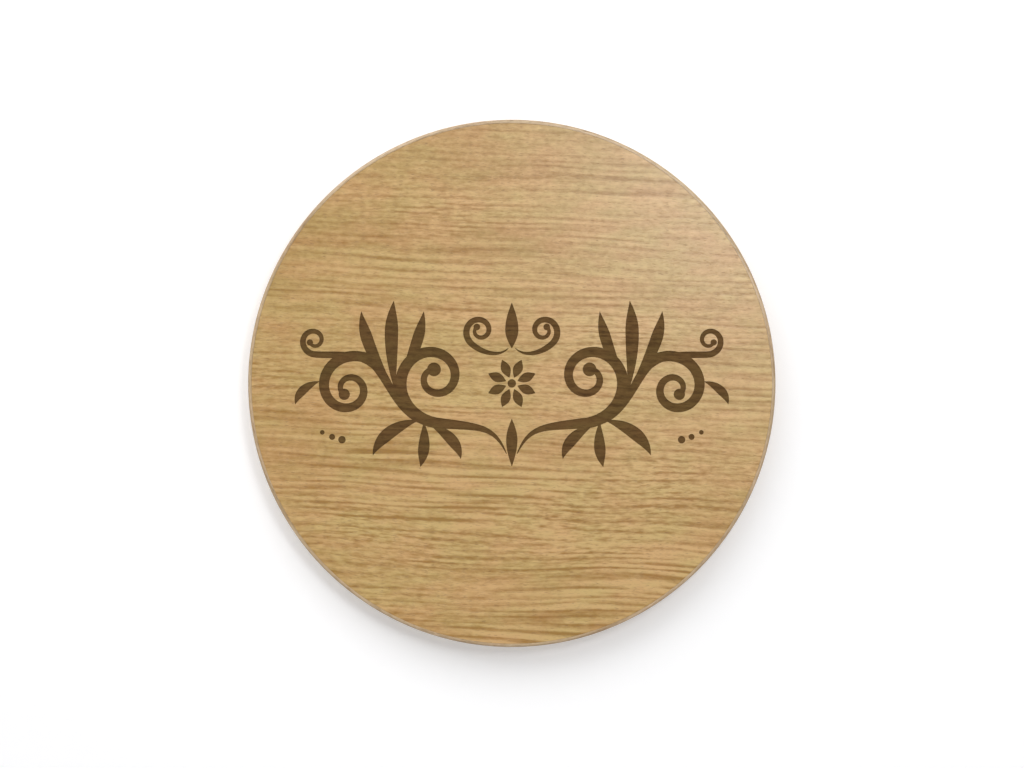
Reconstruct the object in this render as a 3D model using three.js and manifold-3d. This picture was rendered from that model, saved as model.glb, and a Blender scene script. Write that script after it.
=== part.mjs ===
// A round oak wall plaque, 300 mm across, that hangs from one screw in the wall.
//
// From the face to the wall it is made of:
//   face_veneer      one leaf of oak with level grain, flush with the front of the edge band
//   core_panel       a fibreboard round, routed at the back for the hanger
//   back_veneer      a second leaf, which balances the first so that the panel stays flat
//   edge_band        an oak strip bent round the rim, its ends meeting in a scarf joint at the bottom
//   keyhole_plate    a steel hanger let in flush with the back
//   plate_screw_...  two countersunk screws that hold the hanger
//   felt_pad_...     four felt discs that keep the plaque off the wall
//
// Millimetres, +Z up. The face looks along -Y and the wall is on the +Y side.
// The origin is where the axis of the screw in the wall meets the wall's surface.

import * as THREE from "three";
import { mergeVertices } from "three/addons/utils/BufferGeometryUtils.js";
import Module from "manifold-3d";

// The panel
const PLAQUE_DIAMETER = 300;
const CORE_THICKNESS = 16;
const FACE_VENEER_THICKNESS = 0.6;
const BACK_VENEER_THICKNESS = 0.6;
const BAND_THICKNESS = 2;
const EDGE_ROUNDING = 1.5; // radius of the band's two outer corners
const SCARF_WIDTH = 0.12; // of the glue joint between the ends of the band
const SCARF_ANGLE = 30; // degrees between that joint and a square cut
const GLUE_LINE = 0.1; // between pieces that are glued face to face
const RIM_FACETS = 120;

// The hanger plate and its keyhole
const SLOT_BELOW_TOP = 45; // from the top of the plaque down to the hanging point
const PLATE_WIDTH = 16;
const PLATE_THICKNESS = 1.5;
const PLATE_BEVEL = 0.2; // along the stamped edges
const PLATE_SCREW_SPACING = 32;
const SLOT_WIDTH = 4.8;
const SLOT_TRAVEL = 9; // from the centre of the round entry up to the hanging point
const ENTRY_DIAMETER = 9.6;
const PLATE_CLEARANCE = 0.3; // round the edge of the plate, in its recess
const SEAT_GAP = 0.1; // under the plate, and round its screws
const ARC_STEPS = 8; // in each quarter turn of the hanger's outlines

// The pocket behind the plate, where the head of the wall screw goes
const POCKET_WIDTH = 12;
const POCKET_DEPTH = 8;

// The screws that hold the plate
const SCREW_DIAMETER = 3;
const SCREW_LENGTH = 12;
const SCREW_POINT = 3; // length of the tapered tip
const SCREW_HEAD_DIAMETER = 6;
const SCREW_HEAD_EDGE = 0.25; // height of the upright edge above the countersunk cone
const SCREW_SUNK = 0.1; // from the plate's outer face down to the head
const DRIVE_SPAN = 3.2; // across the cross-shaped recess in the head
const DRIVE_WIDTH = 0.7; // of one of its arms
const DRIVE_DEPTH = 1.3;
const SCREW_FACETS = 24;

// The felt pads
const PAD_DIAMETER = 16;
const PAD_THICKNESS = 2;
const PAD_FROM_RIM = 28; // from the rim in to the centre of a pad
const PAD_FACETS = 32;

// Heights and radii in the panel, whose origin is the centre of its back
const rimRadius = PLAQUE_DIAMETER / 2;
const bandInside = rimRadius - BAND_THICKNESS;
const leafRadius = bandInside - GLUE_LINE;
const hangingHeight = rimRadius - SLOT_BELOW_TOP;
const padDistance = rimRadius - PAD_FROM_RIM;

// Depths in the panel, from the back towards the face
const coreBack = -BACK_VENEER_THICKNESS - GLUE_LINE;
const coreFront = coreBack - CORE_THICKNESS;
const faceInside = coreFront - GLUE_LINE;
const faceOutside = faceInside - FACE_VENEER_THICKNESS;
const recessFloor = -PLATE_THICKNESS - SEAT_GAP;
const pocketFloor = recessFloor - POCKET_DEPTH;

// Heights in the hanger, whose origin is the hanging point on the plate's outer face
const slotRadius = SLOT_WIDTH / 2;
const entryRadius = ENTRY_DIAMETER / 2;
const keyholeMiddle = (slotRadius - SLOT_TRAVEL - entryRadius) / 2;
const screwHeights = {
  upper: keyholeMiddle + PLATE_SCREW_SPACING / 2,
  lower: keyholeMiddle - PLATE_SCREW_SPACING / 2,
};

const wasm = await Module();
wasm.setup();

// A closed geometry as a solid that can be cut.
function solid(geometry) {
  const bare = geometry.clone();
  bare.deleteAttribute("normal");
  bare.deleteAttribute("uv");
  const merged = mergeVertices(bare);
  const mesh = new wasm.Mesh({
    numProp: 3,
    vertProperties: merged.attributes.position.array,
    triVerts: new Uint32Array(merged.index.array),
  });
  return new wasm.Manifold(mesh);
}

// A geometry with others cut out of it.
function cut(geometry, ...cutters) {
  const rest = cutters.reduce((left, cutter) => left.subtract(solid(cutter)), solid(geometry));
  const mesh = rest.getMesh();
  const result = new THREE.BufferGeometry();
  result.setAttribute("position", new THREE.BufferAttribute(mesh.vertProperties, 3));
  result.setIndex(new THREE.BufferAttribute(mesh.triVerts, 1));
  return result;
}

// Pairs of radius and depth, from the face side to the wall side, turned about the Y axis.
function turned(profile, facets) {
  const points = profile.map(([radius, depth]) => new THREE.Vector2(radius, depth));
  return new THREE.LatheGeometry(points, facets);
}

function disc(radius, front, back, facets) {
  return turned([[0, front], [radius, front], [radius, back], [0, back]], facets);
}

// An outline drawn in x and z, made solid between two depths.
function slab(outline, front, back) {
  const options = { depth: back - front, bevelEnabled: false, curveSegments: ARC_STEPS };
  return new THREE.ExtrudeGeometry(outline, options).rotateX(Math.PI / 2).translate(0, back, 0);
}

// An upright outline with two round ends, given by their radius and centres.
function obround(radius, low, high) {
  return new THREE.Shape()
    .absarc(0, high, radius, 0, Math.PI)
    .absarc(0, low, radius, Math.PI, 2 * Math.PI);
}

function plateOutline(clearance) {
  return obround(PLATE_WIDTH / 2 + clearance, screwHeights.lower, screwHeights.upper);
}

// A slot with a round top, which widens below into a round entry.
function keyhole(clearance) {
  const slot = slotRadius + clearance;
  const entry = entryRadius + clearance;
  const meeting = Math.acos(slot / entry);
  return new THREE.Path()
    .absarc(0, 0, slot, 0, Math.PI)
    .absarc(0, -SLOT_TRAVEL, entry, Math.PI - meeting, 2 * Math.PI + meeting);
}

// Half of a screw's outline, with its tip towards the face. The head's edge runs up to the top.
function screwProfile(clearance, top) {
  const shank = SCREW_DIAMETER / 2 + clearance;
  const head = SCREW_HEAD_DIAMETER / 2 + clearance;
  const coneTop = -SCREW_SUNK - SCREW_HEAD_EDGE;
  const coneBottom = coneTop - (head - shank);
  const tip = -SCREW_SUNK - SCREW_LENGTH - clearance;
  return [[0, tip], [shank, tip + SCREW_POINT], [shank, coneBottom], [head, coneTop], [head, top], [0, top]];
}

// The room that the two screws need, open at the back.
function screwHoles() {
  const profile = screwProfile(SEAT_GAP, PLATE_THICKNESS);
  return Object.values(screwHeights).map((height) => turned(profile, SCREW_FACETS).translate(0, 0, height));
}

function faceVeneer() {
  return disc(leafRadius, faceOutside, faceInside, RIM_FACETS);
}

// The fibreboard round, with the plate's recess, the pocket below it and two pilot holes.
function corePanel() {
  const recess = slab(plateOutline(PLATE_CLEARANCE), recessFloor, 0);
  const pocket = slab(obround(POCKET_WIDTH / 2, -SLOT_TRAVEL, 0), pocketFloor, 0);
  const cutters = [recess, pocket, ...screwHoles()];
  cutters.forEach((cutter) => cutter.translate(0, 0, hangingHeight));
  return cut(disc(leafRadius, coreFront, coreBack, RIM_FACETS), ...cutters);
}

// The leaf on the back, cut away where the plate is let in.
function backVeneer() {
  const opening = slab(plateOutline(PLATE_CLEARANCE), coreBack, GLUE_LINE).translate(0, 0, hangingHeight);
  return cut(disc(leafRadius, -BACK_VENEER_THICKNESS, 0, RIM_FACETS), opening);
}

// The strip round the rim: its section has two rounded outer corners, and the scarf joint cuts it open.
function edgeBand() {
  const rounding = Math.min(EDGE_ROUNDING, 0.8 * BAND_THICKNESS);
  const middle = rimRadius - rounding;
  const section = new THREE.Path()
    .moveTo(bandInside, faceOutside)
    .absarc(middle, faceOutside + rounding, rounding, -Math.PI / 2, 0)
    .absarc(middle, -rounding, rounding, 0, Math.PI / 2)
    .lineTo(bandInside, 0)
    .closePath();
  const ring = new THREE.LatheGeometry(section.getPoints(ARC_STEPS / 4), RIM_FACETS);
  const joint = new THREE.BoxGeometry(SCARF_WIDTH, -3 * faceOutside, 3 * BAND_THICKNESS)
    .rotateZ(THREE.MathUtils.degToRad(SCARF_ANGLE))
    .translate(0, faceOutside / 2, -rimRadius + BAND_THICKNESS / 2);
  return cut(ring, joint);
}

// Stamped steel: every edge has a small bevel, and the screw holes are countersunk.
function keyholePlate() {
  const outline = plateOutline(-PLATE_BEVEL);
  outline.holes.push(keyhole(PLATE_BEVEL));
  const blank = new THREE.ExtrudeGeometry(outline, {
    depth: PLATE_THICKNESS - 2 * PLATE_BEVEL,
    bevelThickness: PLATE_BEVEL,
    bevelSize: PLATE_BEVEL,
    bevelSegments: 1,
    curveSegments: ARC_STEPS,
  });
  blank.rotateX(Math.PI / 2).translate(0, -PLATE_BEVEL, 0);
  return cut(blank, ...screwHoles());
}

// A countersunk screw with a tapered cross recess in its head.
function plateScrew() {
  const top = -SCREW_SUNK;
  const reach = DRIVE_SPAN / 2;
  const wing = new THREE.Shape()
    .moveTo(-reach, top + DRIVE_DEPTH)
    .lineTo(-reach, top)
    .lineTo(0, top - DRIVE_DEPTH)
    .lineTo(reach, top)
    .lineTo(reach, top + DRIVE_DEPTH);
  const arm = new THREE.ExtrudeGeometry(wing, { depth: DRIVE_WIDTH, bevelEnabled: false });
  arm.translate(0, 0, -DRIVE_WIDTH / 2);
  const crossing = arm.clone().rotateY(Math.PI / 2);
  return cut(turned(screwProfile(0, top), SCREW_FACETS), arm, crossing);
}

function feltPad() {
  return disc(PAD_DIAMETER / 2, 0, PAD_THICKNESS, PAD_FACETS);
}

const finishes = {
  oakFace: { color: 0xc09d6b, roughness: 0.42, metalness: 0 },
  oakBack: { color: 0xb08b5c, roughness: 0.6, metalness: 0 },
  oakEdge: { color: 0xa8875a, roughness: 0.5, metalness: 0 },
  fibreboard: { color: 0x9c7b55, roughness: 0.9, metalness: 0 },
  zincPlate: { color: 0xb9bcbe, roughness: 0.35, metalness: 1 },
  screwSteel: { color: 0xc6c2b4, roughness: 0.3, metalness: 1 },
  felt: { color: 0x4b4239, roughness: 1, metalness: 0 },
};

// A named piece of the plaque, with its finish, in a group.
function addPiece(group, name, geometry, finish) {
  const piece = new THREE.Mesh(geometry, new THREE.MeshStandardMaterial(finish));
  piece.name = name;
  group.add(piece);
  return piece;
}

const panel = new THREE.Group();
addPiece(panel, "face_veneer", faceVeneer(), finishes.oakFace);
addPiece(panel, "core_panel", corePanel(), finishes.fibreboard);
addPiece(panel, "back_veneer", backVeneer(), finishes.oakBack);
addPiece(panel, "edge_band", edgeBand(), finishes.oakEdge);

const hanger = new THREE.Group();
addPiece(hanger, "keyhole_plate", keyholePlate(), finishes.zincPlate);
for (const [place, height] of Object.entries(screwHeights)) {
  addPiece(hanger, `plate_screw_${place}`, plateScrew(), finishes.screwSteel).position.z = height;
}
hanger.position.z = hangingHeight;
panel.add(hanger);

["upper_right", "upper_left", "lower_left", "lower_right"].forEach((corner, index) => {
  const angle = Math.PI / 4 + (index * Math.PI) / 2;
  const pad = addPiece(panel, `felt_pad_${corner}`, feltPad(), finishes.felt);
  pad.position.set(padDistance * Math.cos(angle), 0, padDistance * Math.sin(angle));
});

const plaque = new THREE.Group();
panel.position.set(0, -PAD_THICKNESS, -hangingHeight);
plaque.add(panel);

export default plaque;
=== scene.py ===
import math

import bmesh
import bpy
import numpy as np
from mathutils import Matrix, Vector
from mathutils.geometry import delaunay_2d_cdt


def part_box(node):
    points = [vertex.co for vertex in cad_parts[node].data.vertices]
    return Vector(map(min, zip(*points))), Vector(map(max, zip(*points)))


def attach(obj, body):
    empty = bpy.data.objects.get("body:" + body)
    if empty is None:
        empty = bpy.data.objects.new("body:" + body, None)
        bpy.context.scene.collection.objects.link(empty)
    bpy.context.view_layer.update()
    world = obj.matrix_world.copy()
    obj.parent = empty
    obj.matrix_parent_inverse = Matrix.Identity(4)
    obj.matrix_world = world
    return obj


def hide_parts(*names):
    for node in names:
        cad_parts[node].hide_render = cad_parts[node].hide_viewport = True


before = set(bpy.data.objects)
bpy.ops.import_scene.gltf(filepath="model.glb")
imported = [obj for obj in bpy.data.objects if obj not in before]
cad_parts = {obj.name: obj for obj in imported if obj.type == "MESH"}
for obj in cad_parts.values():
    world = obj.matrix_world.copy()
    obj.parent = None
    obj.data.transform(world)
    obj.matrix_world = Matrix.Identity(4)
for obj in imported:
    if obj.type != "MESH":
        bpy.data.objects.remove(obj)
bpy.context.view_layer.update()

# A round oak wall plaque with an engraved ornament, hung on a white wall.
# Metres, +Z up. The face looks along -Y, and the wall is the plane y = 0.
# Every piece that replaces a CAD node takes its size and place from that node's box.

MM = 0.001

# Places that all pieces share, read from the frame
BAND_LOW, BAND_HIGH = (np.array(corner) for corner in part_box("edge_band"))
FACE_LOW, FACE_HIGH = (np.array(corner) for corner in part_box("face_veneer"))
RIM_RADIUS = (BAND_HIGH[0] - BAND_LOW[0]) / 2
LEAF_RADIUS = (FACE_HIGH[0] - FACE_LOW[0]) / 2
CENTRE_Z = (BAND_LOW[2] + BAND_HIGH[2]) / 2

# The engraving, whose cuts are drawn in millimetres
ENGRAVING_DEPTH = 0.35 * MM
RIM_STEPS = 360
SCROLL_STEP = 0.8  # between the points along a scroll
LEAF_STEP = 0.6
BEND_STEPS = 40
TURN_STEPS = 48  # points in one turn of a spiral
DOT_STEPS = 25
LEAF_BASE_WIDTH = 0.3
LEAF_TIP_WIDTH = 0.05
DOT_END_WIDTH = 0.02
TRIANGLES_INSIDE = 1  # the triangulation's own number for triangles within the outlines only
MERGE_DISTANCE = 1e-7

# Grain
FACE_SEED = 80.0  # the same for the lacquered and the burnt oak, so that the grain runs on into the cuts
BACK_SEED = 9.0
BAND_SEED = 4.0
GRAIN_SLOPE = 0.045
LINE_SPACING = 4.3  # millimetres between two lines of pores
OAK_RELIEF = 0.2 * MM
COAT_ROUGHNESS = 0.32

# The edge band
BAND_STEPS = 360
BAND_THICKNESS = 2 * MM
EDGE_ROUNDING = 1.5 * MM
ROUNDING_STEPS = 10
SCARF_WIDTH = 0.12 * MM
SCARF_ANGLE = math.radians(30)
BAND_CREASE = math.radians(40)  # a steeper edge between two faces is shaded as sharp

# Felt pads
PAD_ROWS, PAD_COLUMNS = 64, 160
PAD_FUZZ = 0.09 * MM
PAD_SMOOTHINGS = 2
PAD_POWER = 0.25  # of sine and cosine: the lower it is, the squarer the section

# Screws of the hanger plate
SCREW_COLUMNS = 72
HEAD_ROWS, EDGE_ROWS, CONE_ROWS, SHANK_ROWS = 36, 6, 8, 110
FIRST_RING = 0.02  # radius of the head's first row, as a share of the head's
SHANK_RADIUS = 1.5 * MM
ROOT_RADIUS = 1.05 * MM
THREAD_PITCH = 1.35 * MM
POINT_LENGTH = 3 * MM
POINT_SHARE = 0.04  # of the radius, left at the very point
HEAD_EDGE = 0.25 * MM
HEAD_ROUNDING = 0.12 * MM
DRIVE_REACH = 1.6 * MM
DRIVE_WIDTH = 0.7 * MM
DRIVE_DEPTH = 1.3 * MM
DRIVE_WALL = 0.12 * MM  # width of the slope between the head and the recess
SCREW_CREASE = math.radians(35)

# Photograph: 1024 pixels wide, with the disc's centre and radius in pixels
PHOTO_WIDTH, PHOTO_HEIGHT = 1024, 768
DISC_PIXELS = (511.8, 383.4)
DISC_PIXEL_RADIUS = 264.0
LENS = 85

# Stage
WALL_GAP = 0.3 * MM  # between the pads and the wall
WALL_REACH = 1.5  # from the middle to either side, and upwards
FLOOR_DROP = 0.9  # below the plaque's centre
FLOOR_REACH = 3.0
BLUE_CAST = 1.01
WORLD_LIGHT = 0.25


# Mesh helpers

def ring_faces(rows, columns):
    """Quads between the points of rows that close on themselves. The points are numbered row by row."""
    row, column = np.meshgrid(np.arange(rows - 1), np.arange(columns), indexing="ij")
    next_row, next_column = row + 1, (column + 1) % columns
    corners = (row, column), (next_row, column), (next_row, next_column), (row, next_column)
    return np.stack([r * columns + c for r, c in corners], axis=-1).reshape(-1, 4)


def make_piece(name, points, faces, materials, smooth=True):
    """A mesh object at the origin from arrays of points and faces, with its faces turned outwards."""
    mesh = bpy.data.meshes.new(name)
    mesh.from_pydata(points.tolist(), [], [list(face) for face in faces])
    shell = bmesh.new()
    shell.from_mesh(mesh)
    bmesh.ops.recalc_face_normals(shell, faces=shell.faces)
    shell.to_mesh(mesh)
    shell.free()
    mesh.polygons.foreach_set("use_smooth", np.full(len(mesh.polygons), smooth))
    for material in materials:
        mesh.materials.append(material)
    piece = bpy.data.objects.new(name, mesh)
    bpy.context.scene.collection.objects.link(piece)
    return piece


def stand_for(piece, node):
    """Let a piece ride on the plaque in the place of a CAD node."""
    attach(piece, "root")
    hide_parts(node)


# Node helpers

def plug(tree, socket, value):
    """Give an input a value, or link it to another node's output."""
    if isinstance(value, bpy.types.NodeSocket):
        tree.links.new(value, socket)
    else:
        socket.default_value = value


def add(tree, kind, inputs=None, **settings):
    """A new node with its settings and its inputs, given by name or number."""
    made = tree.nodes.new(kind)
    for name, value in settings.items():
        setattr(made, name, value)
    for key, value in (inputs or {}).items():
        plug(tree, made.inputs[key], value)
    return made


def calc(tree, operation, first, second=0.0, clamp=False):
    """A Math node's output."""
    made = add(tree, "ShaderNodeMath", {0: first, 1: second}, operation=operation, use_clamp=clamp)
    return made.outputs[0]


def spread(tree, value, low, high, to_low=0.0, to_high=1.0, smooth=False):
    """A value between two limits, carried to two others and kept between them."""
    made = add(
        tree,
        "ShaderNodeMapRange",
        {"Value": value, "From Min": low, "From Max": high, "To Min": to_low, "To Max": to_high},
        interpolation_type="SMOOTHSTEP" if smooth else "LINEAR",
    )
    return made.outputs["Result"]


def noise(tree, place, detail=2.0, roughness=0.5):
    """Noise between 0 and 1 whose largest waves are about one unit of the place long."""
    made = add(
        tree,
        "ShaderNodeTexNoise",
        {"Vector": place, "Scale": 1.0, "Detail": detail, "Roughness": roughness},
    )
    return made.outputs["Fac"]


def scaled_noise(tree, place, scale, detail, roughness=0.5):
    """Noise with a number of waves to the metre along each axis."""
    mapped = add(tree, "ShaderNodeMapping", {"Vector": place, "Scale": scale})
    return noise(tree, mapped.outputs[0], detail, roughness)


def blend_colours(tree, factor, first, second, mode="MIX"):
    """The first colour, carried towards its blend with the second by the factor."""
    made = add(tree, "ShaderNodeMix", {0: factor, 6: first, 7: second}, data_type="RGBA", blend_type=mode)
    return made.outputs[2]


def relief(tree, height, strength, depth):
    """The normals of a surface that a height from 0 to 1 raises by up to this depth."""
    made = add(tree, "ShaderNodeBump", {"Height": height, "Strength": strength, "Distance": depth})
    return made.outputs["Normal"]


def new_group(name, inputs, outputs):
    """A shader group; inputs are given as name, socket type and default, and outputs as name and type."""
    group = bpy.data.node_groups.new(name, "ShaderNodeTree")
    for label, kind, default in inputs:
        group.interface.new_socket(label, in_out="INPUT", socket_type=kind).default_value = default
    for label, kind in outputs:
        group.interface.new_socket(label, in_out="OUTPUT", socket_type=kind)
    return group, group.nodes.new("NodeGroupInput"), group.nodes.new("NodeGroupOutput")


def linear(red, green, blue):
    """An 8-bit screen colour as the linear colour that a socket takes."""
    values = np.array([red, green, blue]) / 255
    return (*np.where(values <= 0.04045, values / 12.92, ((values + 0.055) / 1.055) ** 2.4), 1.0)


def new_material(name):
    """A material, its node tree and its Principled shader."""
    material = bpy.data.materials.new(name)
    material.use_nodes = True
    return material, material.node_tree, material.node_tree.nodes["Principled BSDF"]


def dress(tree, shader, inputs):
    """Plug values or outputs into a shader's inputs by name."""
    for name, value in inputs.items():
        plug(tree, shader.inputs[name], value)


# Oak

def oak_group():
    """Oak grain. Place is in metres, with x along the grain and z across it.

    The height across the grain is given a slight slope and bent by slow and quick noise, so that the grain
    wanders. Lines of pores are the crests of a cosine of that height, whose phase drifts, broken up by a
    noise. Streaks, threads and fibres are noises drawn out along the grain, each to its own length and
    width. One slow noise chooses where short or long streaks prevail, and another how strong the streaks
    and the pore lines are. From the plaque's head to its foot the streaks grow longer and stronger, and the
    mottle fades. Added up with a drift and this mottle, they are the tone that runs from the deep colour to
    the pale one. A noise shifts the hue between green and red. Pores are the peaks of a thin noise, and are
    densest in the pore lines.
    """
    colour, number, vector = "NodeSocketColor", "NodeSocketFloat", "NodeSocketVector"
    group, inlet, outlet = new_group(
        "Oak grain",
        [
            ("Place", vector, (0, 0, 0)),
            ("Seed", number, 0.0),
            ("Pale", colour, linear(214, 180, 130)),
            ("Deep", colour, linear(160, 122, 70)),
            ("Pore", colour, linear(120, 84, 44)),
            ("Pore Amount", number, 0.6),
            ("Hue Amount", number, 1.0),
        ],
        [("Colour", colour), ("Height", number)],
    )
    place = add(group, "ShaderNodeSeparateXYZ", {0: inlet.outputs["Place"]})
    along = calc(group, "MULTIPLY", place.outputs["X"], 1 / MM)
    across = calc(group, "MULTIPLY", place.outputs["Z"], 1 / MM)
    rise = spread(group, place.outputs["Z"], -RIM_RADIUS, RIM_RADIUS)

    def times(first, second):
        """A product of two outputs or numbers."""
        return calc(group, "MULTIPLY", first, second)

    def grain(height, length, width, shift, detail=2.0, roughness=0.5):
        """Noise whose unit is a length along the grain and a width across it, in millimetres."""
        spot = add(
            group,
            "ShaderNodeCombineXYZ",
            {
                0: calc(group, "DIVIDE", along, length),
                1: calc(group, "ADD", inlet.outputs["Seed"], shift),
                2: calc(group, "DIVIDE", height, width),
            },
        )
        return noise(group, spot.outputs[0], detail, roughness)

    def layered(base, *layers):
        """A base plus each noise, taken from its middle and multiplied by its weight."""
        for value, weight in layers:
            base = calc(group, "ADD", base, times(calc(group, "SUBTRACT", value, 0.5), weight))
        return base

    # The bent height across the grain
    slow = grain(across, length=150, width=60, shift=3.1, detail=1.0)
    quick = grain(across, length=60, width=14, shift=7.7)
    sloping = calc(group, "ADD", across, times(along, GRAIN_SLOPE))
    bent = layered(sloping, (slow, 12.0), (quick, 0.9))

    # Lines of pores
    drift = grain(bent, length=260, width=22, shift=1.3)
    phase = layered(calc(group, "DIVIDE", bent, LINE_SPACING), (drift, 4.0))
    wave = spread(group, calc(group, "COSINE", times(phase, 2 * math.pi)), -1.0, 1.0)
    breaks = spread(group, grain(bent, length=60, width=4.5, shift=5.2), 0.3, 0.6)
    line = times(calc(group, "POWER", wave, 1.6), breaks)

    # Streaks, threads and fibres
    long_streak = grain(bent, length=50, width=2.5, shift=8.8)
    short_streak = grain(bent, length=7, width=1.4, shift=2.2, roughness=0.55)
    patch = grain(across, length=130, width=70, shift=6.3, detail=0.0)
    share = spread(group, layered(patch, (rise, -0.12)), 0.4, 0.6)
    mixed = add(group, "ShaderNodeMix", {0: share, 2: short_streak, 3: long_streak}).outputs[0]
    fibre = grain(bent, length=2.6, width=0.95, shift=9.4)
    thread = grain(bent, length=9, width=0.2, shift=30.3, detail=1.0)
    mottle = grain(across, length=4, width=3, shift=21.7, roughness=0.6)

    # Tone
    streaks = layered(
        0.0, (long_streak, 0.45), (short_streak, 0.5), (mixed, 1.35), (thread, 0.35), (line, -0.48)
    )
    patchy = grain(across, length=80, width=45, shift=41.9, detail=1.0)
    uneven = spread(group, patchy, 0.35, 0.65, 0.6, 1.2)
    strength = times(uneven, spread(group, rise, 0.0, 1.0, 1.6, 0.64))
    blotches = times(layered(0.0, (mottle, 1.0)), spread(group, rise, 0.0, 1.0, 0.5, 0.92))
    soft = calc(group, "ADD", layered(0.515, (fibre, 0.3), (drift, 0.6)), blotches)
    tone = calc(group, "ADD", soft, times(streaks, strength), clamp=True)

    # Pores
    dash = grain(bent, length=3.6, width=0.26, shift=12.9, detail=1.0, roughness=0.4)
    crowded = calc(group, "ADD", dash, times(line, 0.06))
    pore = times(spread(group, crowded, 0.62, 0.7, smooth=True), inlet.outputs["Pore Amount"])

    # Colour
    cloud = grain(across, length=26, width=11, shift=15.6, detail=3.0, roughness=0.55)
    hue = spread(group, cloud, 0.36, 0.64)
    tint = blend_colours(group, hue, linear(248, 255, 245), linear(255, 248, 248))
    wood = blend_colours(group, tone, inlet.outputs["Deep"], inlet.outputs["Pale"])
    wood = blend_colours(group, inlet.outputs["Hue Amount"], wood, tint, mode="MULTIPLY")
    wood = blend_colours(group, pore, wood, inlet.outputs["Pore"])
    plug(group, outlet.inputs["Colour"], wood)
    plug(group, outlet.inputs["Height"], calc(group, "SUBTRACT", times(tone, 0.4), pore))
    return group


def oak_material(name, group, seed, roughness, coat, strength, specular=0.5, along_uv=False, **colours):
    """Oak whose grain runs along X, or along the first UV direction of a bent strip."""
    material, tree, shader = new_material(name)
    coordinates = add(tree, "ShaderNodeTexCoord")
    if along_uv:
        flat = add(tree, "ShaderNodeSeparateXYZ", {0: coordinates.outputs["UV"]})
        place = add(tree, "ShaderNodeCombineXYZ", {0: flat.outputs["X"], 2: flat.outputs["Y"]})
    else:
        to_middle = {"Vector": coordinates.outputs["Object"], "Location": (0, 0, -CENTRE_Z)}
        place = add(tree, "ShaderNodeMapping", to_middle)
    oak = add(tree, "ShaderNodeGroup", node_tree=group)
    plug(tree, oak.inputs["Place"], place.outputs[0])
    plug(tree, oak.inputs["Seed"], seed)
    for socket, value in colours.items():
        plug(tree, oak.inputs[socket.replace("_", " ")], value)
    dress(tree, shader, {
        "Base Color": oak.outputs["Colour"],
        "Roughness": roughness,
        "Coat Weight": coat,
        "Coat Roughness": COAT_ROUGHNESS,
        "Specular IOR Level": specular,
        "Normal": relief(tree, oak.outputs["Height"], strength, OAK_RELIEF),
    })
    return material


# Ornament
# Every cut is a middle line with a width at each of its points, in millimetres from the disc's centre.

def volute(centre, outer, inner, start, turns):
    """A spiral whose radius shrinks by the same factor in every turn; negative turns run clockwise."""
    t = np.linspace(0, 1, int(TURN_STEPS * abs(turns)) + 1)
    angle = math.radians(start) + 2 * math.pi * turns * t
    radius = outer * (inner / outer) ** t
    return np.stack([centre[0] + radius * np.cos(angle), centre[1] + radius * np.sin(angle)], axis=1)


def bend(start, pull_start, pull_end, end):
    """A cubic Bezier curve: each point is the mean of the four, weighted by powers of t and 1 - t."""
    t = np.linspace(0, 1, BEND_STEPS + 1)[:, None]
    weights = (1 - t) ** 3, 3 * (1 - t) ** 2 * t, 3 * (1 - t) * t**2, t**3
    corners = start, pull_start, pull_end, end
    return sum(weight * np.array(corner) for weight, corner in zip(weights, corners))


def led_into(path, start, pull, reach):
    """A path with a bend in front of it that meets its first point smoothly."""
    heading = path[1] - path[0]
    heading /= np.hypot(*heading)
    return np.concatenate([bend(start, pull, path[0] - heading * reach, path[0])[:-1], path])


def evenly(path, step):
    """The same path with points at equal steps of its length, in eight steps at least."""
    length = np.append(0, np.cumsum(np.hypot(*np.diff(path, axis=0).T)))
    stops = np.linspace(0, length[-1], max(int(length[-1] / step), 8) + 1)
    return np.stack([np.interp(stops, length, path[:, axis]) for axis in (0, 1)], axis=1)


def swelling(count, tip, belly, end, peak):
    """Widths that grow from the tip to the belly as a quarter sine wave, and shrink to the end likewise."""
    t = np.linspace(0, 1, count)
    grow = tip + (belly - tip) * np.sin(np.clip(t / peak, 0, 1) * math.pi / 2)
    shrink = end + (belly - end) * np.sin(np.clip((1 - t) / (1 - peak), 0, 1) * math.pi / 2)
    return np.where(t < peak, grow, shrink)


def scroll(path, start, pull, reach, tip, belly, end, peak):
    """A stem that bends into a spiral and swells on its way."""
    path = evenly(led_into(path, start, pull, reach), SCROLL_STEP)
    return path, swelling(len(path), tip, belly, end, peak)


def leaf(base, tip, curl, width, peak):
    """A pointed leaf. Its middle line bows sideways by curl, as a share of its length."""
    base, tip = np.array(base, float), np.array(tip, float)
    along = tip - base
    bow = np.array([-along[1], along[0]]) * curl
    path = evenly(bend(base, base + along * 0.35 + bow, base + along * 0.75 + bow, tip), LEAF_STEP)
    return path, swelling(len(path), LEAF_BASE_WIDTH, width, LEAF_TIP_WIDTH, peak)


def dot(centre, radius):
    """A round spot, as a short line whose width is the chord of the circle."""
    t = np.sin(np.linspace(-1, 1, DOT_STEPS) * math.pi / 2)
    path = np.stack([centre[0] + radius * t, np.full_like(t, centre[1])], axis=1)
    return path, 2 * radius * np.sqrt(1 - t**2) + DOT_END_WIDTH


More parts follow.
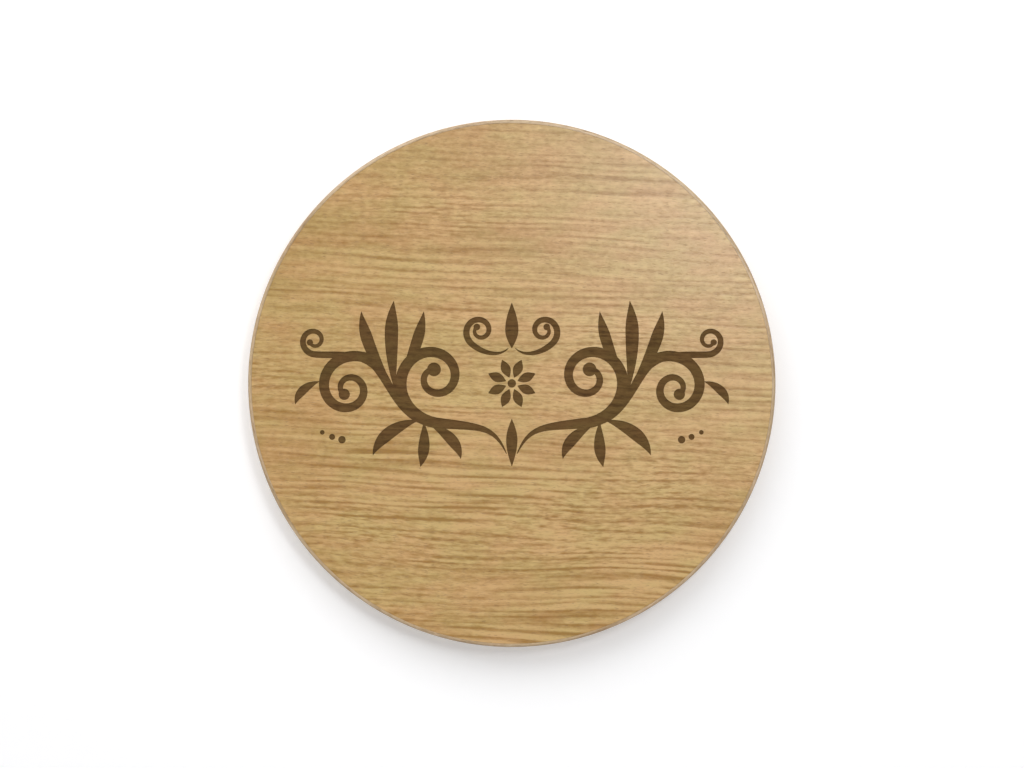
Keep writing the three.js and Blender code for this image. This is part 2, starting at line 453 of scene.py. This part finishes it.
def side_cuts():
    """The right half of the ornament: a forked stem with two scrolls and a tendril, leaves and dots.

    The stem starts below the rosette and curls up into the inner scroll. The outer scroll branches off its
    underside, and the tendril off the top of the outer scroll. Three leaves rise from between the scrolls,
    three hang from the stem's underside, and one springs from the far side of the outer scroll. A curl
    stands by itself beside the upper leaf of the middle. Every spiral ends in a dot, and three dots that
    shrink outwards stand below the outer scroll.
    """
    stem_foot, fork = (3, -40), (66.2, -4.6)
    inner = volute((43.5, 3), outer=26, inner=5.0, start=-98, turns=1.5)
    outer = volute((92.5, -3), outer=19.5, inner=4.2, start=112, turns=-1.45)
    tendril = volute((112.2, 24.5), outer=8.2, inner=2.8, start=-98, turns=1.2)
    curl = volute((18, 30), outer=9, inner=2.8, start=-60, turns=1.3)
    cuts = [
        scroll(inner, stem_foot, (10, -24), reach=22, tip=0.4, belly=6.6, end=3.2, peak=0.38),
        scroll(outer, (46, -23.5), (68, -21), reach=15, tip=1.2, belly=6.0, end=2.8, peak=0.45),
        scroll(tendril, (79, 9), (88, 18.2), reach=10, tip=1.5, belly=3.8, end=1.8, peak=0.3),
        scroll(curl, (2, 20), (8, 14), reach=6, tip=0.4, belly=3.6, end=1.8, peak=0.4),
    ]
    ends = (inner, 3.9), (outer, 3.2), (tendril, 1.8), (curl, 1.9)
    cuts += [dot(path[-1], radius) for path, radius in ends]
    cuts += [
        leaf(fork, (67, 47), curl=-0.045, width=7.6, peak=0.66),
        leaf(fork, (85.5, 41), curl=-0.09, width=6.8, peak=0.68),
        leaf(fork, (50, 41), curl=0.06, width=6.4, peak=0.68),
        leaf((50, -22), (52, -47.5), curl=-0.06, width=6.4, peak=0.58),
        leaf((53, -21), (79, -41), curl=0.18, width=7.2, peak=0.55),
        leaf((46, -24), (29, -43), curl=-0.18, width=6.4, peak=0.55),
        leaf((109.5, 1), (123, -12), curl=0.2, width=5.0, peak=0.55),
    ]
    for step in range(3):
        cuts.append(dot((96.5 + 5.6 * step, -32 + (1.1 + 0.5 * step) * step), 2.1 - 0.4 * step))
    return cuts


def centre_cuts():
    """A rosette of eight petals round a dot, with a leaf above and below it."""
    turns = math.pi / 8 + np.arange(8) * math.pi / 4
    ways = [np.array([math.cos(turn), math.sin(turn)]) for turn in turns]
    cuts = [leaf(way * 3.6, way * 14.5, curl=0.0, width=5.4, peak=0.5) for way in ways]
    cuts.append(dot((0, 0), 2.4))
    cuts.append(leaf((0, 20), (0, 46), curl=0.0, width=7.5, peak=0.4))
    cuts.append(leaf((0, -47), (0, -20), curl=0.0, width=6.4, peak=0.55))
    return cuts


def outline(path, width):
    """The closed edge of a cut, anticlockwise.

    It runs at half the width to the right of the middle line, and comes back on the left.
    """
    heading = np.gradient(path, axis=0)
    heading /= np.hypot(*heading.T)[:, None]
    offset = np.stack([-heading[:, 1], heading[:, 0]], axis=1) * width[:, None] / 2
    return np.concatenate([path - offset, (path + offset)[::-1]])


def ornament():
    """The outlines of all cuts in metres: the right half, its mirror image and the middle."""
    right = [outline(*cut) for cut in side_cuts()]
    left = [(points * (-1, 1))[::-1] for points in right]
    middle = [outline(*cut) for cut in centre_cuts()]
    return [points * MM for points in right + left + middle]


def engraved_face(materials):
    """The face veneer: a round leaf with the ornament sunk into its front.

    The rim and the ornament's outlines are triangulated together. A triangle inside any outline belongs to
    the sunken floor, any other to the surface. Upright walls join the two levels, and an outer wall joins
    the surface to the flat back.
    """
    angle = np.arange(RIM_STEPS) * 2 * math.pi / RIM_STEPS
    rim = np.stack([np.cos(angle), np.sin(angle)], axis=1) * LEAF_RADIUS
    loops = [rim] + ornament()
    starts = np.cumsum([0] + [len(loop) for loop in loops[:-1]])
    numbered = [list(range(start, start + len(loop))) for start, loop in zip(starts, loops)]
    flat, _, faces, _, _, inside = delaunay_2d_cdt(
        np.concatenate(loops).tolist(), [], numbered, TRIANGLES_INSIDE, MERGE_DISTANCE, True
    )
    flat = np.array([tuple(point) for point in flat])
    faces = np.array(faces)
    sunk = np.array([any(loop > 0 for loop in loops_here) for loops_here in inside])

    count = len(flat)
    surface, floor, back = 0, count, 2 * count
    depths = FACE_LOW[1], FACE_LOW[1] + ENGRAVING_DEPTH, FACE_HIGH[1]
    points = np.concatenate([
        np.stack([flat[:, 0], np.full(count, depth), flat[:, 1] + CENTRE_Z], axis=1) for depth in depths
    ])

    def border(triangles):
        """The edges that only one of these triangles has, in that triangle's direction."""
        edges = np.concatenate([triangles[:, [0, 1]], triangles[:, [1, 2]], triangles[:, [2, 0]]])
        keys = np.sort(edges, axis=1) @ (count, 1)
        _, first, uses = np.unique(keys, return_index=True, return_counts=True)
        return edges[first[uses == 1]]

    def wall(edges, upper, lower):
        """Quads between the same edges at two levels."""
        return np.column_stack([edges + upper, edges[:, ::-1] + lower])

    parts = [
        (faces[~sunk] + surface, 0),
        (faces[sunk] + floor, 1),
        (wall(border(faces[sunk]), surface, floor), 1),
        (wall(border(faces), surface, back), 0),
        (faces + back, 0),
    ]
    finish = np.concatenate([np.full(len(part), index) for part, index in parts])
    corners = np.concatenate([np.ravel(part) for part, _ in parts])
    used, renumbered = np.unique(corners, return_inverse=True)
    sizes = [len(face) for part, _ in parts for face in part]
    shapes = np.split(renumbered, np.cumsum(sizes)[:-1])
    piece = make_piece("engraved_face_veneer", points[used], shapes, materials, smooth=False)
    piece.data.polygons.foreach_set("material_index", finish)
    stand_for(piece, "face_veneer")


def edge_band(material):
    """The strip round the rim: its section carried round a circle, twisted so that both ends slope alike.

    The section is a rectangle whose two outer corners are quarter circles. The angle round the rim grows
    with the depth by the tangent of the scarf angle, and stops short of a full turn by the joint's width.
    """
    front, back = BAND_LOW[1], BAND_HIGH[1]
    middle = RIM_RADIUS - EDGE_ROUNDING
    inside = RIM_RADIUS - BAND_THICKNESS
    quarter = np.linspace(0, math.pi / 2, ROUNDING_STEPS + 1)
    reach = EDGE_ROUNDING * np.sin(quarter)
    drop = EDGE_ROUNDING * (1 - np.cos(quarter))
    radius = np.concatenate([[inside], middle + reach, middle + reach[::-1], [inside]])
    depth = np.concatenate([[front], front + drop, back - drop[::-1], [back]])
    columns = len(radius)

    along = np.linspace(0, 1, BAND_STEPS + 1)[:, None]
    slope = math.tan(SCARF_ANGLE) * (depth - (front + back) / 2) / RIM_RADIUS
    gap = SCARF_WIDTH / math.cos(SCARF_ANGLE) / RIM_RADIUS
    angle = -math.pi / 2 + slope + gap / 2 + along * (2 * math.pi - gap)
    x = radius * np.cos(angle)
    y = np.broadcast_to(depth, angle.shape)
    z = radius * np.sin(angle) + CENTRE_Z
    points = np.stack([x, y, z], axis=-1).reshape(-1, 3)
    quads = ring_faces(BAND_STEPS + 1, columns)
    caps = [list(range(columns)), list(range(BAND_STEPS * columns, (BAND_STEPS + 1) * columns))]
    piece = make_piece("oak_edge_band", points, quads.tolist() + caps, [material])

    # The UV map is the strip laid flat, in metres: the way round the rim, and the way over the section
    girth = np.append(0, np.cumsum(np.hypot(np.diff(radius), np.diff(depth))))
    strip = np.stack([angle * RIM_RADIUS, np.broadcast_to(girth, angle.shape)], axis=-1).reshape(-1, 2)
    corners = np.empty(len(piece.data.loops), dtype=int)
    piece.data.loops.foreach_get("vertex_index", corners)
    piece.data.uv_layers.new(name="strip").data.foreach_set("uv", strip[corners].ravel())
    piece.data.set_sharp_from_angle(angle=BAND_CREASE)
    stand_for(piece, "edge_band")


# Pads and screws

def noisy(shape, seed):
    """Random heights on a grid that closes in its second direction, each averaged with its neighbours.

    They are scaled so that the largest is 1 or -1.
    """
    heights = np.random.default_rng(seed).uniform(-1, 1, shape)
    for _ in range(PAD_SMOOTHINGS):
        heights = (heights + np.roll(heights, 1, axis=1) + np.roll(heights, -1, axis=1)) / 3
        inner = (heights[:-2] + heights[1:-1] + heights[2:]) / 3
        heights = np.concatenate([heights[:1], inner, heights[-1:]])
    return heights / np.abs(heights).max()


def turned_surface(name, radius, depth, centre, material):
    """A closed surface round an axis along Y. Rows run from pole to pole, and columns round the axis.

    Each point lies at its radius from the axis, at its column's angle, and at its depth along the axis. A
    point in the middle of the first row and one in the middle of the last close the ends.
    """
    rows, columns = radius.shape
    angle = np.arange(columns) * 2 * math.pi / columns
    x = centre[0] + radius * np.cos(angle)
    z = centre[1] + radius * np.sin(angle)
    points = np.stack([x, depth, z], axis=-1).reshape(-1, 3)
    poles = points[:columns].mean(axis=0), points[-columns:].mean(axis=0)
    ring = np.arange(columns)
    after = (ring + 1) % columns
    last_row = (rows - 1) * columns
    first_fan = np.column_stack([np.full(columns, rows * columns), ring, after])
    last_fan = np.column_stack([np.full(columns, rows * columns + 1), last_row + after, last_row + ring])
    faces = ring_faces(rows, columns).tolist() + first_fan.tolist() + last_fan.tolist()
    return make_piece(name, np.vstack([points, *poles]), faces, [material])


def node_box(node):
    """A CAD node's lowest and highest corners, and the place of its axis along Y."""
    low, high = (np.array(corner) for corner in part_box(node))
    return low, high, ((low[0] + high[0]) / 2, (low[2] + high[2]) / 2)


def felt_pad(node, seed, material):
    """A pressed felt disc with a soft edge, flat on the panel and on the wall, and rough all over.

    Its section is a superellipse: the radius is the disc's times the 1/4 power of the sine of the row's
    angle, and the depth is half the thickness times the 1/4 power of its cosine. Averaged random heights
    push both in.
    """
    low, high, centre = node_box(node)
    turn = np.linspace(0, math.pi, PAD_ROWS)[1:-1, None]
    across, up = np.sin(turn), np.cos(turn)
    fuzz = 1 + noisy((PAD_ROWS - 2, PAD_COLUMNS), seed)
    radius = (high[0] - low[0]) / 2 * across**PAD_POWER - PAD_FUZZ * fuzz * across
    half = (high[1] - low[1]) / 2
    rise = np.sign(up) * (half * np.abs(up) ** PAD_POWER - PAD_FUZZ / 2 * fuzz)
    depth = (low[1] + high[1]) / 2 - rise
    piece = turned_surface(node.replace("felt_pad", "felt_disc"), radius, depth, centre, material)
    stand_for(piece, node)


def plate_screw(node, material):
    """A countersunk screw whose axis runs along Y, with its head towards the wall.

    One grid runs from the middle of the head over its edge, down the cone and the shank to the point. On
    the head, the depth is the tapered cross: in each arm it falls evenly from the middle to the arm's end.
    On the shank, the radius swings between root and crest as a triangle wave of the depth in pitches less
    the share of a turn. The wave is stretched and cut off, which leaves flats on root and crest.
    """
    low, high, centre = node_box(node)
    head = (high[0] - low[0]) / 2
    length = high[1] - low[1]
    turn = np.arange(SCREW_COLUMNS) * 2 * math.pi / SCREW_COLUMNS
    full = np.ones(SCREW_COLUMNS)

    head_radius = np.linspace(FIRST_RING, 1, HEAD_ROWS)[:, None] * (head - HEAD_ROUNDING) * full
    x, z = head_radius * np.cos(turn), head_radius * np.sin(turn)
    arms = []
    for along, beside in ((x, z), (z, x)):
        wall = np.clip((DRIVE_WIDTH / 2 - np.abs(beside)) / DRIVE_WALL + 0.5, 0, 1)
        arms.append(wall * np.clip(1 - np.abs(along) / DRIVE_REACH, 0, 1))
    head_depth = DRIVE_DEPTH * np.maximum(*arms)

    quarter = np.linspace(0, math.pi / 2, EDGE_ROWS)[1:, None]
    edge_radius = head - HEAD_ROUNDING * (1 - np.sin(quarter))
    edge_depth = HEAD_ROUNDING * (1 - np.cos(quarter))
    cone = np.linspace(0, 1, CONE_ROWS)[:, None]
    cone_end = HEAD_EDGE + head - SHANK_RADIUS
    cone_radius = head + (SHANK_RADIUS - head) * cone
    cone_depth = HEAD_EDGE + (cone_end - HEAD_EDGE) * cone

    shank_depth = np.linspace(cone_end, length, SHANK_ROWS)[1:, None]
    phase = shank_depth / THREAD_PITCH - turn / (2 * math.pi)
    wave = np.abs(2 * (phase - np.floor(phase)) - 1)
    start = np.clip((shank_depth - cone_end) / THREAD_PITCH, 0, 1)
    taper = np.clip((length - shank_depth) / POINT_LENGTH, POINT_SHARE, 1)
    thread = SHANK_RADIUS - (SHANK_RADIUS - ROOT_RADIUS) * start * np.clip(wave * 1.6 - 0.3, 0, 1)

    radius = np.concatenate([head_radius, edge_radius * full, cone_radius * full, thread * taper])
    depth = np.concatenate([head_depth, edge_depth * full, cone_depth * full, shank_depth * full])
    name = node.replace("plate_screw", "threaded_screw")
    piece = turned_surface(name, radius, high[1] - depth, centre, material)
    piece.data.set_sharp_from_angle(angle=SCREW_CREASE)
    stand_for(piece, node)


# Finishes of the hanger, the core and the pads

def zinc_material(name, tint, roughness):
    """Zinc plating: a cloudy roughness, fine lines along X from polishing, and small dull spots."""
    material, tree, shader = new_material(name)
    place = add(tree, "ShaderNodeTexCoord").outputs["Object"]
    cloud = scaled_noise(tree, place, (300, 300, 300), detail=3.0)
    lines = scaled_noise(tree, place, (400, 4000, 9000), detail=2.0)
    spots = add(tree, "ShaderNodeTexVoronoi", {"Vector": place, "Scale": 900.0}, feature="F1")
    dull = spread(tree, spots.outputs["Distance"], 0.0, 0.12, 0.35, 0.0)
    colour = blend_colours(tree, spread(tree, cloud, 0.3, 0.7), tint, linear(150, 154, 156))
    colour = blend_colours(tree, spread(tree, lines, 0.35, 0.65, 0.0, 0.4), colour, linear(160, 163, 165))
    colour = blend_colours(tree, dull, colour, linear(112, 112, 108))
    height = calc(tree, "ADD", calc(tree, "MULTIPLY", lines, 0.6), calc(tree, "MULTIPLY", cloud, 0.4))
    dress(tree, shader, {
        "Base Color": colour,
        "Metallic": 1.0,
        "Roughness": spread(tree, cloud, 0.3, 0.7, roughness, roughness + 0.14),
        "Normal": relief(tree, height, strength=0.2, depth=0.05 * MM),
    })
    return material


def fibreboard_material():
    """Bare routed fibreboard: matted fibres in two browns, with a fine felted relief."""
    material, tree, shader = new_material("routed fibreboard")
    place = add(tree, "ShaderNodeTexCoord").outputs["Object"]
    mat = scaled_noise(tree, place, (900, 2400, 900), detail=4.0, roughness=0.7)
    patch = scaled_noise(tree, place, (120, 500, 120), detail=2.0)
    colour = blend_colours(tree, spread(tree, mat, 0.3, 0.7), linear(128, 98, 66), linear(178, 145, 104))
    colour = blend_colours(tree, spread(tree, patch, 0.4, 0.8, 0.0, 0.5), colour, linear(146, 112, 76))
    dress(tree, shader, {
        "Base Color": colour,
        "Roughness": 0.92,
        "Specular IOR Level": 0.2,
        "Normal": relief(tree, mat, strength=0.7, depth=0.15 * MM),
    })
    return material


def felt_material():
    """Pressed wool: tangled fibres, a few of them pale, and a soft sheen at a flat angle."""
    material, tree, shader = new_material("pressed felt")
    place = add(tree, "ShaderNodeTexCoord").outputs["Object"]

    def twisted(scale, detail, distortion):
        """Noise that is bent by itself."""
        inputs = {"Vector": place, "Scale": scale, "Detail": detail, "Distortion": distortion}
        return add(tree, "ShaderNodeTexNoise", inputs).outputs["Fac"]

    tangle = twisted(1600.0, detail=3.0, distortion=2.0)
    hairs = twisted(700.0, detail=1.0, distortion=5.0)
    strand = spread(tree, calc(tree, "ABSOLUTE", calc(tree, "SUBTRACT", hairs, 0.5)), 0.0, 0.025, 0.6, 0.0)
    colour = blend_colours(tree, spread(tree, tangle, 0.3, 0.7), linear(58, 50, 42), linear(92, 82, 71))
    colour = blend_colours(tree, strand, colour, linear(128, 116, 102))
    dress(tree, shader, {
        "Base Color": colour,
        "Roughness": 0.95,
        "Specular IOR Level": 0.15,
        "Sheen Weight": 0.25,
        "Normal": relief(tree, calc(tree, "ADD", tangle, strand), strength=0.9, depth=0.2 * MM),
    })
    return material


def finish_node(node, material):
    """Give a CAD node's own slots a material."""
    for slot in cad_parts[node].material_slots:
        slot.material = material


# Stage

def camera():
    """Square to the face, so far off that the disc has the photograph's size and place in the frame."""
    pixel = RIM_RADIUS / DISC_PIXEL_RADIUS
    data = bpy.data.cameras.new("camera")
    data.lens = LENS
    distance = data.lens / data.sensor_width * PHOTO_WIDTH * pixel
    place = bpy.data.objects.new("camera", data)
    place.location = (
        (PHOTO_WIDTH / 2 - DISC_PIXELS[0]) * pixel,
        FACE_LOW[1] - distance,
        CENTRE_Z - (PHOTO_HEIGHT / 2 - DISC_PIXELS[1]) * pixel,
    )
    place.rotation_euler = (math.pi / 2, 0, 0)
    bpy.context.scene.collection.objects.link(place)
    bpy.context.scene.camera = place


def panel_light(name, place, width, height, watts):
    """A rectangular lamp that faces the disc's centre, from which its place is measured."""
    data = bpy.data.lights.new(name, "AREA")
    data.shape = "RECTANGLE"
    data.size = width
    data.size_y = height
    data.energy = watts
    lamp = bpy.data.objects.new(name, data)
    lamp.location = Vector(place) + Vector((0, 0, CENTRE_Z))
    lamp.rotation_euler = (-Vector(place)).to_track_quat("-Z", "Y").to_euler()
    bpy.context.scene.collection.objects.link(lamp)


def seen_directly(tree):
    """1 for what the camera, a gloss or a glass sees of a background, 0 for the light that it gives."""
    path = add(tree, "ShaderNodeLightPath")
    seen = calc(tree, "MAXIMUM", path.outputs["Is Camera Ray"], path.outputs["Is Glossy Ray"])
    return calc(tree, "MAXIMUM", seen, path.outputs["Is Transmission Ray"])


def stage_plane(name, low, high, material):
    """A rectangle with two sides along X, from its lowest corner to its highest."""
    corners = [low, (high[0], low[1], low[2]), high, (low[0], high[1], high[2])]
    mesh = bpy.data.meshes.new(name)
    mesh.from_pydata(corners, [], [(0, 1, 2, 3)])
    mesh.materials.append(material)
    plane = bpy.data.objects.new(name, mesh)
    bpy.context.scene.collection.objects.link(plane)


def white_surface(name, paleness, lift):
    """White paint that a camera sees a little lighter than it is lit.

    Its back is clear, and it casts no shadow.
    """
    material, tree, shader = new_material(name)
    tree.nodes.remove(shader)
    paint = add(tree, "ShaderNodeBsdfDiffuse", {"Color": (paleness, paleness, paleness * BLUE_CAST, 1)})
    glow = add(tree, "ShaderNodeEmission", {"Strength": calc(tree, "MULTIPLY", seen_directly(tree), lift)})
    front = add(tree, "ShaderNodeAddShader", {0: paint.outputs[0], 1: glow.outputs[0]})
    clear = add(tree, "ShaderNodeBsdfTransparent")
    behind = add(tree, "ShaderNodeNewGeometry").outputs["Backfacing"]
    shadow = add(tree, "ShaderNodeLightPath").outputs["Is Shadow Ray"]
    unseen = calc(tree, "MAXIMUM", behind, shadow)
    both = add(tree, "ShaderNodeMixShader", {0: unseen, 1: front.outputs[0], 2: clear.outputs[0]})
    plug(tree, tree.nodes["Material Output"].inputs["Surface"], both.outputs[0])
    return material


def stage():
    """A white wall behind the pads, a pale floor below the view, three lamps and a white world."""
    floor_z = CENTRE_Z - FLOOR_DROP
    wall_paint = white_surface("wall paint", paleness=0.86, lift=0.25)
    floor_paint = white_surface("floor paint", paleness=0.5, lift=0.5)
    wall_low, wall_high = (-WALL_REACH, WALL_GAP, floor_z), (WALL_REACH, WALL_GAP, WALL_REACH)
    floor_low, floor_high = (-WALL_REACH, -FLOOR_REACH, floor_z), (WALL_REACH, FLOOR_REACH, floor_z)
    stage_plane("wall", wall_low, wall_high, wall_paint)
    stage_plane("floor", floor_low, floor_high, floor_paint)
    panel_light("overhead softbox", (-0.6, -2.25, 2.35), width=4.4, height=2.4, watts=95.8)
    panel_light("window", (0.27, -1.2, 0.25), width=0.24, height=0.24, watts=3.0)
    panel_light("back light", (-0.35, 2.0, 0.5), width=1.2, height=1.2, watts=34)

    world = bpy.data.worlds.new("studio")
    bpy.context.scene.world = world
    world.use_nodes = True
    tree = world.node_tree
    level = spread(tree, seen_directly(tree), 0.0, 1.0, WORLD_LIGHT, 1.0)
    dress(tree, tree.nodes["Background"], {"Color": (1, 1, 1, 1), "Strength": level})


camera()
stage()
oak_grain = oak_group()
oak_face = oak_material(
    "lacquered oak", oak_grain, FACE_SEED, roughness=0.33, coat=0.5, strength=0.3,
    Pale=linear(204, 167, 107), Deep=linear(151, 107, 18), Pore=linear(120, 81, 14),
)
oak_edge = oak_material(
    "oak edge band", oak_grain, BAND_SEED, roughness=0.42, coat=0.3, strength=0.3, along_uv=True,
    Pale=linear(202, 175, 140), Deep=linear(159, 129, 89), Pore=linear(116, 90, 61), Hue_Amount=0.25,
)
burnt = oak_material(
    "burnt oak", oak_grain, FACE_SEED, roughness=0.75, coat=0.0, strength=0.5, specular=0.2,
    Pale=linear(106, 79, 42), Deep=linear(79, 54, 21), Pore=linear(60, 40, 16),
)
oak_back = oak_material(
    "oak backing veneer", oak_grain, BACK_SEED, roughness=0.62, coat=0.0, strength=0.5,
    Pale=linear(200, 168, 122), Deep=linear(150, 113, 66), Pore=linear(112, 78, 40),
    Pore_Amount=0.85, Hue_Amount=0.5,
)
zinc = zinc_material("zinc plate", linear(188, 192, 194), roughness=0.3)
screw_zinc = zinc_material("zinc screws", linear(202, 196, 176), roughness=0.24)
felt = felt_material()
engraved_face([oak_face, burnt])
edge_band(oak_edge)
for seed, corner in enumerate(("upper_right", "upper_left", "lower_left", "lower_right")):
    felt_pad("felt_pad_" + corner, seed, felt)
for node in ("plate_screw_upper", "plate_screw_lower"):
    plate_screw(node, screw_zinc)
finish_node("core_panel", fibreboard_material())
finish_node("back_veneer", oak_back)
finish_node("keyhole_plate", zinc)

bpy.context.scene.view_settings.view_transform = "Standard"
